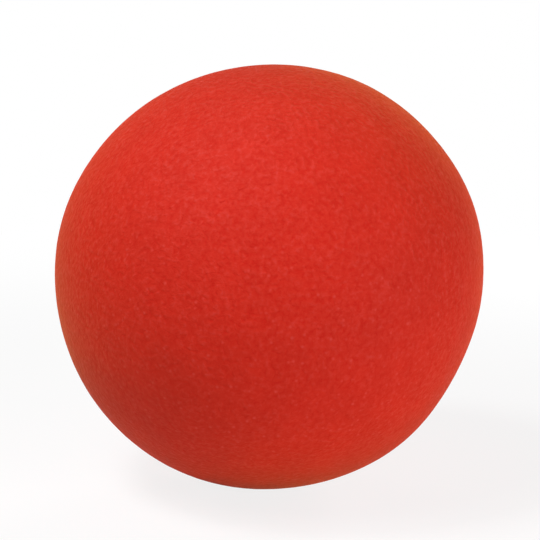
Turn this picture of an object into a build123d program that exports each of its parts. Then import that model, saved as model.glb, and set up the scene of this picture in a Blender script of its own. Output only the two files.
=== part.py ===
from build123d import *

import os

# Coated foam dodgeball, seamless and without a valve: a core of soft open-cell foam, cut to a ball,
# with a thin skin of matt elastomer sprayed all round it. The skin is bonded to the core, so the
# two share one round face. The origin is the ball's centre, +Z is up, and sizes are in millimetres.

# Driving dimensions
BALL_DIAMETER = 8.25 * IN  # over the skin, the size of a match ball
SKIN_THICKNESS = 0.8  # several sprayed passes, cured into one tough layer

# Radii of the two round faces: what the hand meets, and the bond between skin and core
BALL_RADIUS = BALL_DIAMETER / 2
BOND_RADIUS = BALL_RADIUS - SKIN_THICKNESS


def make_foam_core():
    """The body of the ball, one piece of foam that fills the skin up to the bond."""
    return Sphere(BOND_RADIUS)


def make_skin():
    """The coat, a closed shell of even thickness with no seam or opening."""
    return Sphere(BALL_RADIUS) - Sphere(BOND_RADIUS)


PIECES = {
    "foam_core": make_foam_core(),
    "skin": make_skin(),
}

os.makedirs("parts", exist_ok=True)
for name, piece in PIECES.items():
    piece.label = name
    export_step(piece, f"parts/{name}.step")
    print(f"{name}: {piece.volume / 1000:.1f} cm3")
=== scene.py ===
import math

import bpy
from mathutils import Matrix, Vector


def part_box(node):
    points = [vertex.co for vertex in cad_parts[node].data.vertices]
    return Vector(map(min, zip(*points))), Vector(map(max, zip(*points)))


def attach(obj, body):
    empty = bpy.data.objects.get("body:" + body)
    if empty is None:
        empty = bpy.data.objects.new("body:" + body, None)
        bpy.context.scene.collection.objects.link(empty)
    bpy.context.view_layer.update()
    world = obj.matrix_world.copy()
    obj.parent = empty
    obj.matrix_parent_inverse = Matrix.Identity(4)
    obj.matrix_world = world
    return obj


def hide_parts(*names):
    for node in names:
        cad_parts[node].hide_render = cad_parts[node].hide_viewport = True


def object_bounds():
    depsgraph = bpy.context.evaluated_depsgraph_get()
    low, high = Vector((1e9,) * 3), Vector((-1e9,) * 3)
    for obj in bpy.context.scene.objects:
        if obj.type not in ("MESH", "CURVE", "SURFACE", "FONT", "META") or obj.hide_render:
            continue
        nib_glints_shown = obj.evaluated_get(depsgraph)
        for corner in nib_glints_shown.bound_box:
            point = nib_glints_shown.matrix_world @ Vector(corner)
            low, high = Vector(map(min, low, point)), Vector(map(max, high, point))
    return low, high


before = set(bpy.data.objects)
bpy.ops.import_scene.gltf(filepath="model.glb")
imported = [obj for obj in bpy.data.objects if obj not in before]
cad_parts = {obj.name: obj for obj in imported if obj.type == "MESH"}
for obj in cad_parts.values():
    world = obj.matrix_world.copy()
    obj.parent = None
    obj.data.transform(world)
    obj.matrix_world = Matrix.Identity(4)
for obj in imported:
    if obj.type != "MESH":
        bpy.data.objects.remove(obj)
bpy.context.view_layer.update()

# Foam core
# One ball of soft open-cell polyurethane foam, cut from block foam and ground round. Nothing fastens
# it: the skin is sprayed on it and bonds to it. It gives the ball its slight flats and swells.

MM = 0.001
CORE_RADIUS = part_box("foam_core")[1].z
CORE_SQUARES = 80  # along each of the six sides of the block that the ball is bent from
BOND_GAP = 0.1 * MM  # keeps the mesh of the core off the inner wall of the skin

# Where packing has pressed the soft ball flat or let it swell: the place on its outline as the camera
# sees it, in degrees from the right and upwards, its height, and how many degrees of the ball it spreads.
SOFT_PLACES = (
    (22, 1.4 * MM, 17),
    (55, 0.75 * MM, 24),
    (110, -1.1 * MM, 34),
    (166, 0.6 * MM, 16),
    (240, 0.65 * MM, 42),
    (276, -0.8 * MM, 23),
    (332, -1.45 * MM, 16),
)
VIEW_ELEVATION = math.radians(10)
VIEW_DISTANCE = 743 * MM
VIEW_RIGHT = Vector((1, 0, 0))
VIEW_UP = Vector((0, math.sin(VIEW_ELEVATION), math.cos(VIEW_ELEVATION)))
VIEW_BACK = Vector((0, -math.cos(VIEW_ELEVATION), math.sin(VIEW_ELEVATION)))

# The whole ball also wavers a little, as foam that is ground by hand does.
WAVER_WIDTH = 70 * MM
WAVER_HEIGHT = 0.35 * MM
WAVER_LAYERS = 1
NOISE_MIDDLE = 0.5  # every noise pattern swings about this, between 0 and 1
BALL_SEED = 0.0  # moves the waver, and the pebbles of the skin, to another part of their pattern

# The six sides of the block, each as the turn that takes a grid from the top to that side.
BLOCK_WIDTH = 2
QUARTER = math.pi / 2
BLOCK_SIDES = (
    (0, 0, 0),
    (QUARTER, 0, 0),
    (2 * QUARTER, 0, 0),
    (-QUARTER, 0, 0),
    (0, QUARTER, 0),
    (0, -QUARTER, 0),
)
WELD_DISTANCE = 1e-4  # in the block's own measure
MAP_COLUMNS, MAP_ROWS = 3, 2  # the sides' places in the UV map
MAP_MARGIN = 0.01  # of a side's place, left free round it


def add(tree, kind, feeds=None, **settings):
    """Adds a node with its settings, and feeds its inputs with values or with other nodes' sockets."""
    made = tree.nodes.new(kind)
    for name, value in settings.items():
        setattr(made, name, value)
    for place, value in (feeds or {}).items():
        if isinstance(value, bpy.types.NodeSocket):
            tree.links.new(value, made.inputs[place])
        else:
            made.inputs[place].default_value = value
    return made


def outline_spot(clock):
    """Direction from the ball's centre to the place on its outline at this clock angle."""
    turn = math.radians(clock)
    limb = CORE_RADIUS / VIEW_DISTANCE
    across = VIEW_RIGHT * math.cos(turn) + VIEW_UP * math.sin(turn)
    return across * math.sqrt(1 - limb**2) + VIEW_BACK * limb


def block_shell(tree, squares, map_low, map_high):
    """The block's six sides as grids welded along their edges, each with its place in the UV map."""
    count = add(tree, "ShaderNodeMath", {0: squares, 1: 1}, operation="ADD").outputs[0]
    sizes = {"Size X": BLOCK_WIDTH, "Size Y": BLOCK_WIDTH, "Vertices X": count, "Vertices Y": count}
    grid = add(tree, "GeometryNodeMeshGrid", sizes).outputs
    sides = add(tree, "GeometryNodeJoinGeometry")
    half = BLOCK_WIDTH / 2
    tall = (map_high - map_low) / MAP_ROWS
    map_scale = (1 - 2 * MAP_MARGIN) / MAP_COLUMNS, (1 - 2 * MAP_MARGIN) * tall, 0
    for index, turn in enumerate(BLOCK_SIDES):
        row, column = divmod(index, MAP_COLUMNS)
        map_start = (column + MAP_MARGIN) / MAP_COLUMNS, map_low + (row + MAP_MARGIN) * tall, 0
        feeds = {0: grid["UV Map"], 1: map_scale, 2: map_start}
        place = add(tree, "ShaderNodeVectorMath", feeds, operation="MULTIPLY_ADD").outputs[0]
        feeds = {"Geometry": grid["Mesh"], "Name": "OFBake", "Value": place}
        kind = "GeometryNodeStoreNamedAttribute"
        side = add(tree, kind, feeds, data_type="FLOAT2", domain="CORNER").outputs[0]
        lean, roll = turn[0], turn[1]
        outward = half * math.sin(roll), -half * math.sin(lean), half * math.cos(lean) * math.cos(roll)
        feeds = {"Geometry": side, "Translation": outward, "Rotation": turn}
        side = add(tree, "GeometryNodeTransform", feeds).outputs[0]
        tree.links.new(side, sides.inputs[0])
    feeds = {"Geometry": sides.outputs[0], "Distance": WELD_DISTANCE}
    return add(tree, "GeometryNodeMergeByDistance", feeds).outputs[0]


def round_wall(tree, shell, radius, seed, relief=None):
    """Bends the block's shell to a ball of this radius, with its soft places, waver and any relief."""
    place = add(tree, "GeometryNodeInputPosition").outputs[0]
    feeds = {0: place, "Scale": QUARTER / BLOCK_WIDTH}
    angle = add(tree, "ShaderNodeVectorMath", feeds, operation="SCALE").outputs[0]
    spread = add(tree, "ShaderNodeVectorMath", {0: angle}, operation="TANGENT").outputs[0]
    out = add(tree, "ShaderNodeVectorMath", {0: spread}, operation="NORMALIZE").outputs[0]
    reach = radius
    for clock, height, width in SOFT_PLACES:
        feeds = {0: out, 1: outline_spot(clock)}
        near = add(tree, "ShaderNodeVectorMath", feeds, operation="DOT_PRODUCT").outputs["Value"]
        near = add(tree, "ShaderNodeMath", {0: near}, operation="ARCCOSINE").outputs[0]
        feeds = {0: near, 1: math.radians(width)}
        near = add(tree, "ShaderNodeMath", feeds, operation="DIVIDE").outputs[0]
        near = add(tree, "ShaderNodeMath", {0: near, 1: 2}, operation="POWER").outputs[0]
        near = add(tree, "ShaderNodeMath", {0: 1 / math.e, 1: near}, operation="POWER").outputs[0]
        feeds = {0: near, 1: height, 2: reach}
        reach = add(tree, "ShaderNodeMath", feeds, operation="MULTIPLY_ADD").outputs[0]
    spot = add(tree, "ShaderNodeVectorMath", {0: out, "Scale": radius}, operation="SCALE").outputs[0]
    spot = add(tree, "ShaderNodeVectorMath", {0: spot, 1: seed}, operation="ADD").outputs[0]
    feeds = {"Vector": spot, "Scale": 1 / WAVER_WIDTH, "Detail": WAVER_LAYERS}
    waver = add(tree, "ShaderNodeTexNoise", feeds).outputs[0]
    waver = add(tree, "ShaderNodeMath", {0: waver, 1: NOISE_MIDDLE}, operation="SUBTRACT").outputs[0]
    feeds = {0: waver, 1: 2 * WAVER_HEIGHT, 2: reach}
    reach = add(tree, "ShaderNodeMath", feeds, operation="MULTIPLY_ADD").outputs[0]
    if relief:
        reach = relief(tree, spot, reach)
    place = add(tree, "ShaderNodeVectorMath", {0: out, "Scale": reach}, operation="SCALE").outputs[0]
    return add(tree, "GeometryNodeSetPosition", {"Geometry": shell, "Position": place}).outputs[0]


def new_tree(name, inputs):
    """An empty geometry tree with these named inputs, and what it is given through them."""
    tree = bpy.data.node_groups.new(name, "GeometryNodeTree")
    for socket, kind in inputs.items():
        tree.interface.new_socket(socket, in_out="INPUT", socket_type="NodeSocket" + kind)
    tree.interface.new_socket("Geometry", in_out="OUTPUT", socket_type="NodeSocketGeometry")
    return tree, add(tree, "NodeGroupInput").outputs


def finish_tree(tree, geometry, material):
    """Ends a tree in smooth faces, one plain mesh and its material."""
    smooth = add(tree, "GeometryNodeSetShadeSmooth", {"Geometry": geometry}).outputs[0]
    plain = add(tree, "GeometryNodeRealizeInstances", {"Geometry": smooth}).outputs[0]
    dressed = add(tree, "GeometryNodeSetMaterial", {"Geometry": plain, "Material": material}).outputs[0]
    add(tree, "NodeGroupOutput", {"Geometry": dressed})


def make_piece(name, tree, sizes):
    """A new piece: the mesh that the tree makes from these sizes, with no modifier left on it."""
    piece = bpy.data.objects.new(name, bpy.data.meshes.new(name))
    bpy.context.scene.collection.objects.link(piece)
    maker = piece.modifiers.new("shape", "NODES")
    maker.node_group = tree
    for item in tree.interface.items_tree:
        if item.in_out == "INPUT":
            maker[item.identifier] = sizes[item.name]
    ready = piece.evaluated_get(bpy.context.evaluated_depsgraph_get())
    mesh = bpy.data.meshes.new_from_object(ready)
    piece.modifiers.remove(maker)
    mesh.materials.clear()
    mesh.materials.append(sizes["Material"])
    piece.data = mesh
    return piece


def rgb(code):
    """Linear colour, with alpha, of an sRGB hex code such as #CE2717."""
    shares = [int(code[at : at + 2], 16) / 255 for at in (1, 3, 5)]
    return [s / 12.92 if s <= 0.04045 else ((s + 0.055) / 1.055) ** 2.4 for s in shares] + [1]


def new_material(name):
    """An empty node material, with its shader and its tree."""
    material = bpy.data.materials.new(name)
    material.use_nodes = True
    tree = material.node_tree
    return material, tree, tree.nodes["Principled BSDF"]


# Flexible polyurethane foam: a cut face of open cells, dry and chalky, so there is no gloss. The cells
# show as pits painted dark as shade, with pale rims, and the block has yellowed in clouds.
FOAM_CELL = 1.6 * MM  # coarser than most real cells, so that they show
FOAM_PIT = 0.5 * MM
PIT_RIM, PIT_FLOOR = 0.04, 0.3  # of a cell, from its edge inwards
FOAM_CLOUD = 40 * MM
FOAM_CLOUD_LAYERS = 3
YELLOW_START, YELLOW_FULL = 0.4, 0.7  # of the pattern of the clouds
FOAM_RIM = "#F0E2BE"
FOAM_PIT_SHADE = "#B79A62"
FOAM_YELLOW = "#E3C98C"
FOAM_ROUGHNESS = 0.95
FOAM_SPECULAR = 0.2

foam, tree, shader = new_material("open_cell_polyurethane_foam")
spot = add(tree, "ShaderNodeTexCoord").outputs["Object"]
feeds = {"Vector": spot, "Scale": 1 / FOAM_CELL}
edge = add(tree, "ShaderNodeTexVoronoi", feeds, feature="DISTANCE_TO_EDGE").outputs["Distance"]
feeds = {0: edge, 1: PIT_RIM, 2: PIT_FLOOR}
pit_and_shade = add(tree, "ShaderNodeMapRange", feeds, interpolation_type="SMOOTHSTEP").outputs[0]
feeds = {"Vector": spot, "Scale": 1 / FOAM_CLOUD, "Detail": FOAM_CLOUD_LAYERS}
cloud = add(tree, "ShaderNodeTexNoise", feeds).outputs[0]
cloud = add(tree, "ShaderNodeMapRange", {0: cloud, 1: YELLOW_START, 2: YELLOW_FULL}).outputs[0]
feeds = {0: cloud, 6: rgb(FOAM_RIM), 7: rgb(FOAM_YELLOW)}
rim = add(tree, "ShaderNodeMix", feeds, data_type="RGBA").outputs[2]
# The pits of the cells are painted darker: painted shade.
colour = add(tree, "ShaderNodeMix", {0: pit_and_shade, 6: rim, 7: rgb(FOAM_PIT_SHADE)}, data_type="RGBA").outputs[2]
depth = add(tree, "ShaderNodeMath", {0: 1, 1: pit_and_shade}, operation="SUBTRACT").outputs[0]
bump = add(tree, "ShaderNodeBump", {"Distance": FOAM_PIT, "Height": depth}).outputs[0]
tree.links.new(colour, shader.inputs["Base Color"])
tree.links.new(bump, shader.inputs["Normal"])
shader.inputs["Roughness"].default_value = FOAM_ROUGHNESS
shader.inputs["Specular IOR Level"].default_value = FOAM_SPECULAR

core_inputs = {"Radius": "Float", "Squares": "Int", "Seed": "Float", "Material": "Material"}
core_tree, given = new_tree("foam_core_shape", core_inputs)
shell = block_shell(core_tree, given["Squares"], 0, 1)
wall = round_wall(core_tree, shell, given["Radius"], given["Seed"])
finish_tree(core_tree, wall, given["Material"])
core_sizes = {
    "Radius": CORE_RADIUS - BOND_GAP,
    "Squares": CORE_SQUARES,
    "Seed": BALL_SEED,
    "Material": foam,
}
core = make_piece("foam_core_ball", core_tree, core_sizes)
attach(core, "root")
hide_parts("foam_core")

# Skin
# A closed shell of matt red elastomer, sprayed on the core in several passes and cured into one tough
# layer with no seam. It dries to low, soft pebbles with shallow creases between them.

SKIN_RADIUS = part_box("skin")[1].z
SKIN_SQUARES = 124
INNER_SQUARES = 28  # nobody sees the inner wall, which lies against the core
PEBBLE_WIDTH = 4.6 * MM
PEBBLE_HEIGHT = 0.05 * MM
PEBBLE_MIDDLE = 0.4  # of a pebble's width, from its top to where it is as high as the plain ball
PEBBLE_SOFTNESS = 0.6  # how far neighbouring pebbles run into each other
OUTER_MAP_HIGH = 0.93  # the outer wall has nearly all of the UV map
INNER_MAP_LOW = 0.94


def pebbles(tree, spot, reach):
    """Adds the low pebbles of the sprayed skin to how far it reaches."""
    feeds = {"Vector": spot, "Scale": 1 / PEBBLE_WIDTH, "Smoothness": PEBBLE_SOFTNESS}
    away = add(tree, "ShaderNodeTexVoronoi", feeds, feature="SMOOTH_F1").outputs["Distance"]
    rise = add(tree, "ShaderNodeMath", {0: PEBBLE_MIDDLE, 1: away}, operation="SUBTRACT").outputs[0]
    feeds = {0: rise, 1: 2 * PEBBLE_HEIGHT, 2: reach}
    return add(tree, "ShaderNodeMath", feeds, operation="MULTIPLY_ADD").outputs[0]


# Sprayed polyurethane elastomer, pigmented red and matted: the grain breaks up all gloss. Its pits are
# painted deeper red as shade, its tops paler, partly rubbed wear and partly painted glints, and it
# catches light at the rim as a dusty orange bloom. The grain, and with it the painted shade and glints,
# is stronger towards the top than at the foot, and small pale nibs, partly dried spray and partly painted
# glints, show on the smoother, lower part.
GRAIN_WIDTH = 2.3 * MM
GRAIN_HEIGHT = 0.6 * MM
GRAIN_LAYERS = 2
GRAIN_FINENESS = 0.6  # strength of each finer layer
GRAIN_SWIRL = 0.2
GRAIN_BELOW, GRAIN_ABOVE = 0.6, 1.2  # of the grain's height, at the foot and at the top of the ball
CREASE_SPACING = 3.4 * MM
CREASE_WIDTH = 0.5 * MM
CREASE_DEPTH = 0.1  # of the grain's height
CREASE_DRIFT = 2.0 * MM  # how far the creases wander from straight lines
CREASE_BREAK = 6 * MM  # they come and go over about this length
CREASE_BREAK_LAYERS = 2
CREASE_GONE, CREASE_WHOLE = 0.42, 0.62  # of the pattern that they come and go by
CLOUD_WIDTH = 18 * MM
CLOUD_LAYERS = 3
CLOUD_LOW, CLOUD_HIGH = 0.3, 0.7  # of the pattern of the clouds
CLOUD_DEEP, CLOUD_PALE = 0.97, 1.03  # of the colour
NIB_SPACING = 4.8 * MM
NIB_RADIUS = 1.15 * MM
NIB_GLINTS_WHOLE, NIB_GLINTS_GONE = 10 * MM, 75 * MM  # above the ball's middle, where the painted nib glints fade out towards the top
SKIN_PIT_SHADE = "#C91C0E"
SKIN_RED = "#CE2717"
SKIN_RUBBED_AND_GLINT = "#D13228"
SKIN_NIB_AND_GLINT = "#D33B31"
SKIN_BLOOM = "#FFCA53"
PIT_SHADE_BELOW, RED_ABOVE = 0.3, 0.55  # of the grain's height
RUB_GLINT_START, RUB_GLINT_FULL = 0.53, 0.75
GRAIN_PIT, GRAIN_TOP = 0.3, 0.7
PIT_ROUGHNESS, TOP_ROUGHNESS = 0.82, 0.68
SKIN_SPECULAR = 0.15
BLOOM_WEIGHT = 0.12
BLOOM_SPREAD = 0.5

paint, tree, shader = new_material("sprayed_polyurethane_skin")
spot = add(tree, "ShaderNodeTexCoord").outputs["Object"]
feeds = {"Vector": spot, "Scale": 1 / GRAIN_WIDTH, "Detail": GRAIN_LAYERS}
feeds |= {"Roughness": GRAIN_FINENESS, "Distortion": GRAIN_SWIRL}
grain = add(tree, "ShaderNodeTexNoise", feeds).outputs[0]
feeds = {"Vector": spot, "Scale": 1 / CREASE_BREAK, "Detail": CREASE_BREAK_LAYERS}
breaks = add(tree, "ShaderNodeTexNoise", feeds).outputs
feeds = {0: breaks["Color"], 1: [CREASE_DRIFT] * 3, 2: spot}
strayed = add(tree, "ShaderNodeVectorMath", feeds, operation="MULTIPLY_ADD").outputs[0]
feeds = {"Vector": strayed, "Scale": 1 / CREASE_SPACING}
edge = add(tree, "ShaderNodeTexVoronoi", feeds, feature="DISTANCE_TO_EDGE").outputs["Distance"]
feeds = {0: edge, 1: CREASE_WIDTH / CREASE_SPACING, 2: 0}
crease = add(tree, "ShaderNodeMapRange", feeds, interpolation_type="SMOOTHSTEP").outputs[0]
kept = add(tree, "ShaderNodeMapRange", {0: breaks["Fac"], 1: CREASE_GONE, 2: CREASE_WHOLE}).outputs[0]
crease = add(tree, "ShaderNodeMath", {0: crease, 1: kept}, operation="MULTIPLY").outputs[0]
feeds = {0: crease, 1: -CREASE_DEPTH, 2: grain}
height = add(tree, "ShaderNodeMath", feeds, operation="MULTIPLY_ADD").outputs[0]
height = add(tree, "ShaderNodeMath", {0: height, 1: NOISE_MIDDLE}, operation="SUBTRACT").outputs[0]
level = add(tree, "ShaderNodeSeparateXYZ", {0: spot}).outputs["Z"]
# The grain, and with it the painted pit shade and glints that follow its height, grows stronger towards
# the top.
feeds = {0: level, 1: -SKIN_RADIUS, 2: SKIN_RADIUS, 3: GRAIN_BELOW, 4: GRAIN_ABOVE}
coarse = add(tree, "ShaderNodeMapRange", feeds).outputs[0]
feeds = {0: height, 1: coarse, 2: NOISE_MIDDLE}
height = add(tree, "ShaderNodeMath", feeds, operation="MULTIPLY_ADD").outputs[0]
bump = add(tree, "ShaderNodeBump", {"Distance": GRAIN_HEIGHT, "Height": height}).outputs[0]
# Pits and creases get the deeper red: painted shade.
pit_shade = add(tree, "ShaderNodeMapRange", {0: height, 1: PIT_SHADE_BELOW, 2: RED_ABOVE}).outputs[0]
feeds = {0: pit_shade, 6: rgb(SKIN_PIT_SHADE), 7: rgb(SKIN_RED)}
colour = add(tree, "ShaderNodeMix", feeds, data_type="RGBA").outputs[2]
# Paler tops: partly rubbed wear, partly painted glints.
rubbed_and_glint = add(tree, "ShaderNodeMapRange", {0: height, 1: RUB_GLINT_START, 2: RUB_GLINT_FULL}).outputs[0]
feeds = {0: rubbed_and_glint, 6: colour, 7: rgb(SKIN_RUBBED_AND_GLINT)}
colour = add(tree, "ShaderNodeMix", feeds, data_type="RGBA").outputs[2]
feeds = {"Vector": spot, "Scale": 1 / CLOUD_WIDTH, "Detail": CLOUD_LAYERS}
cloud = add(tree, "ShaderNodeTexNoise", feeds).outputs[0]
feeds = {0: cloud, 1: CLOUD_LOW, 2: CLOUD_HIGH, 3: CLOUD_DEEP, 4: CLOUD_PALE}
cloud = add(tree, "ShaderNodeMapRange", feeds).outputs[0]
feeds = {0: 1, 6: colour, 7: cloud}
colour = add(tree, "ShaderNodeMix", feeds, data_type="RGBA", blend_type="MULTIPLY").outputs[2]
# Pale nibs: partly dried spray, partly painted glints; they show on the lower part only.
nib_and_glint = add(tree, "ShaderNodeTexVoronoi", {"Vector": spot, "Scale": 1 / NIB_SPACING}).outputs["Distance"]
feeds = {0: nib_and_glint, 1: NIB_RADIUS / NIB_SPACING, 2: 0}
nib_and_glint = add(tree, "ShaderNodeMapRange", feeds, interpolation_type="SMOOTHSTEP").outputs[0]
feeds = {0: level, 1: NIB_GLINTS_WHOLE, 2: NIB_GLINTS_GONE, 3: 1, 4: 0}
nib_glints_shown = add(tree, "ShaderNodeMapRange", feeds).outputs[0]
nib_and_glint = add(tree, "ShaderNodeMath", {0: nib_and_glint, 1: nib_glints_shown}, operation="MULTIPLY").outputs[0]
colour = add(tree, "ShaderNodeMix", {0: nib_and_glint, 6: colour, 7: rgb(SKIN_NIB_AND_GLINT)}, data_type="RGBA").outputs[2]
feeds = {0: height, 1: GRAIN_PIT, 2: GRAIN_TOP, 3: PIT_ROUGHNESS, 4: TOP_ROUGHNESS}
rough = add(tree, "ShaderNodeMapRange", feeds).outputs[0]
tree.links.new(colour, shader.inputs["Base Color"])
tree.links.new(rough, shader.inputs["Roughness"])
tree.links.new(bump, shader.inputs["Normal"])
shader.inputs["Specular IOR Level"].default_value = SKIN_SPECULAR
shader.inputs["Sheen Weight"].default_value = BLOOM_WEIGHT
shader.inputs["Sheen Roughness"].default_value = BLOOM_SPREAD
shader.inputs["Sheen Tint"].default_value = rgb(SKIN_BLOOM)

skin_inputs = {
    "Radius": "Float",
    "Thickness": "Float",
    "Outer Squares": "Int",
    "Inner Squares": "Int",
    "Seed": "Float",
    "Material": "Material",
}
skin_tree, given = new_tree("skin_shape", skin_inputs)
shell = block_shell(skin_tree, given["Outer Squares"], 0, OUTER_MAP_HIGH)
outer = round_wall(skin_tree, shell, given["Radius"], given["Seed"], pebbles)
feeds = {0: given["Radius"], 1: given["Thickness"]}
inside = add(skin_tree, "ShaderNodeMath", feeds, operation="SUBTRACT").outputs[0]
shell = block_shell(skin_tree, given["Inner Squares"], INNER_MAP_LOW, 1)
inner = round_wall(skin_tree, shell, inside, given["Seed"])
inner = add(skin_tree, "GeometryNodeFlipFaces", {"Mesh": inner}).outputs[0]
walls = add(skin_tree, "GeometryNodeJoinGeometry", {0: outer})
skin_tree.links.new(inner, walls.inputs[0])
finish_tree(skin_tree, walls.outputs[0], given["Material"])
skin_sizes = {
    "Radius": SKIN_RADIUS,
    "Thickness": SKIN_RADIUS - CORE_RADIUS,
    "Outer Squares": SKIN_SQUARES,
    "Inner Squares": INNER_SQUARES,
    "Seed": BALL_SEED,
    "Material": paint,
}
skin = make_piece("skin_coat", skin_tree, skin_sizes)
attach(skin, "root")
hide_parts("skin")

# Studio
# A white card floor in a white room. Two soft lamps light the ball from high at the front left and two
# from low at the front right. Two behind it give light without gloss, so that they don't streak its rim,
# and one above gives gloss alone. None of it is part of the ball.

floor_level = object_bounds()[0].z
FLOOR_HALF = 6.0  # half the card's width, in metres
FLOOR_WHITE = "#EEEEEE"
FLOOR_LIFT = 0.82  # of the card's white is its own where the camera sees it, so shadows stay pale
FADE_START, FADE_END = 0.3, 0.9  # from the ball, where the card runs out into plain white
ROOM_WHITE = "#FFFFFF"
ROOM_LIGHT = 0.05
LAMPS = {
    "key_lamp": {"side": -60, "up": 60, "distance": 1.2, "size": 0.3, "power": 6.4},
    "near_lamp": {"side": -36, "up": 45, "distance": 0.5, "size": 0.2, "power": 0.93},
    "fill_lamp": {"side": 45, "up": 3, "distance": 1.2, "size": 0.3, "power": 3.25},
    "side_lamp": {"side": 60, "up": 3, "distance": 1.2, "size": 0.3, "power": 4.3},
    "back_lamp": {"side": 150, "up": 8, "distance": 1.2, "size": 0.3, "power": 9, "glints": False},
    "dim_lamp": {"side": -150, "up": 8, "distance": 1.2, "size": 0.3, "power": 3, "glints": False},
    "glint_lamp": {"side": -20, "up": 75, "distance": 1.2, "size": 0.8, "power": 6, "lights": False},
}


def seen_rays(tree):
    """One for the rays that show the studio: straight to the camera, in a gloss or through glass."""
    path = add(tree, "ShaderNodeLightPath").outputs
    feeds = {0: path["Is Camera Ray"], 1: path["Is Glossy Ray"]}
    seen = add(tree, "ShaderNodeMath", feeds, operation="MAXIMUM").outputs[0]
    feeds = {0: seen, 1: path["Is Transmission Ray"]}
    return add(tree, "ShaderNodeMath", feeds, operation="MAXIMUM").outputs[0]


def soft_lamp(name, side, up, distance, size, power, glints=True, lights=True):
    """A square soft lamp that looks at the ball, so many degrees to the right of the camera and up.

    It can be kept from showing in the ball's gloss, or from lighting the ball's matt colour.
    """
    turn, rise = math.radians(side), math.radians(up)
    towards = Vector((math.sin(turn) * math.cos(rise), -math.cos(turn) * math.cos(rise), math.sin(rise)))
    lamp = bpy.data.lights.new(name, "AREA")
    lamp.shape = "SQUARE"
    lamp.size = size
    lamp.energy = power
    stand = bpy.data.objects.new(name, lamp)
    stand.location = towards * distance
    stand.rotation_mode = "QUATERNION"
    stand.rotation_quaternion = towards.to_track_quat("Z", "Y")
    stand.visible_glossy = glints
    stand.visible_diffuse = lights
    bpy.context.scene.collection.objects.link(stand)


card, tree, shader = new_material("white_card")
tree.nodes.remove(shader)
spot = add(tree, "ShaderNodeTexCoord").outputs["Object"]
foot = 0, 0, floor_level
away = add(tree, "ShaderNodeVectorMath", {0: spot, 1: foot}, operation="DISTANCE").outputs["Value"]
feeds = {0: away, 1: FADE_START, 2: FADE_END, 3: FLOOR_LIFT, 4: 1}
lift = add(tree, "ShaderNodeMapRange", feeds, interpolation_type="SMOOTHSTEP").outputs[0]
rest = add(tree, "ShaderNodeMath", {0: 1, 1: lift}, operation="SUBTRACT").outputs[0]
glow = add(tree, "ShaderNodeEmission", {"Strength": lift}).outputs[0]
lit = add(tree, "ShaderNodeBsdfDiffuse", {"Color": rest}).outputs[0]
lifted = add(tree, "ShaderNodeAddShader", {0: lit, 1: glow}).outputs[0]
plain = add(tree, "ShaderNodeBsdfDiffuse", {"Color": rgb(FLOOR_WHITE)}).outputs[0]
both = add(tree, "ShaderNodeMixShader", {0: seen_rays(tree), 1: plain, 2: lifted}).outputs[0]
tree.links.new(both, tree.nodes["Material Output"].inputs["Surface"])

corner_signs = (-1, -1), (1, -1), (1, 1), (-1, 1)
corners = [(x * FLOOR_HALF, y * FLOOR_HALF, floor_level) for x, y in corner_signs]
sheet = bpy.data.meshes.new("floor")
sheet.from_pydata(corners, [], [(0, 1, 2, 3)])
sheet.materials.append(card)
floor = bpy.data.objects.new("floor", sheet)
bpy.context.scene.collection.objects.link(floor)

room = bpy.data.worlds.new("white_room")
room.use_nodes = True
bpy.context.scene.world = room
tree = room.node_tree
strength = add(tree, "ShaderNodeMapRange", {0: seen_rays(tree), 3: ROOM_LIGHT, 4: 1}).outputs[0]
tree.nodes["Background"].inputs["Color"].default_value = rgb(ROOM_WHITE)
tree.links.new(strength, tree.nodes["Background"].inputs["Strength"])

for name, settings in LAMPS.items():
    soft_lamp(name, **settings)

# Camera
# A long lens a little above the ball's middle, so that the ball stands in the picture as in the
# photograph: its centre a little left of and below the middle.

LENS = 100  # millimetres
AIM_RIGHT = 0.5 * MM
AIM_UP = 3.1 * MM

view = bpy.data.cameras.new("camera")
view.lens = LENS
camera = bpy.data.objects.new("camera", view)
camera.location = VIEW_BACK * VIEW_DISTANCE
aim = VIEW_RIGHT * AIM_RIGHT + VIEW_UP * AIM_UP
camera.rotation_mode = "QUATERNION"
camera.rotation_quaternion = (aim - camera.location).to_track_quat("-Z", "Y")
bpy.context.scene.collection.objects.link(camera)
bpy.context.scene.camera = camera
bpy.context.scene.view_settings.view_transform = "Standard"
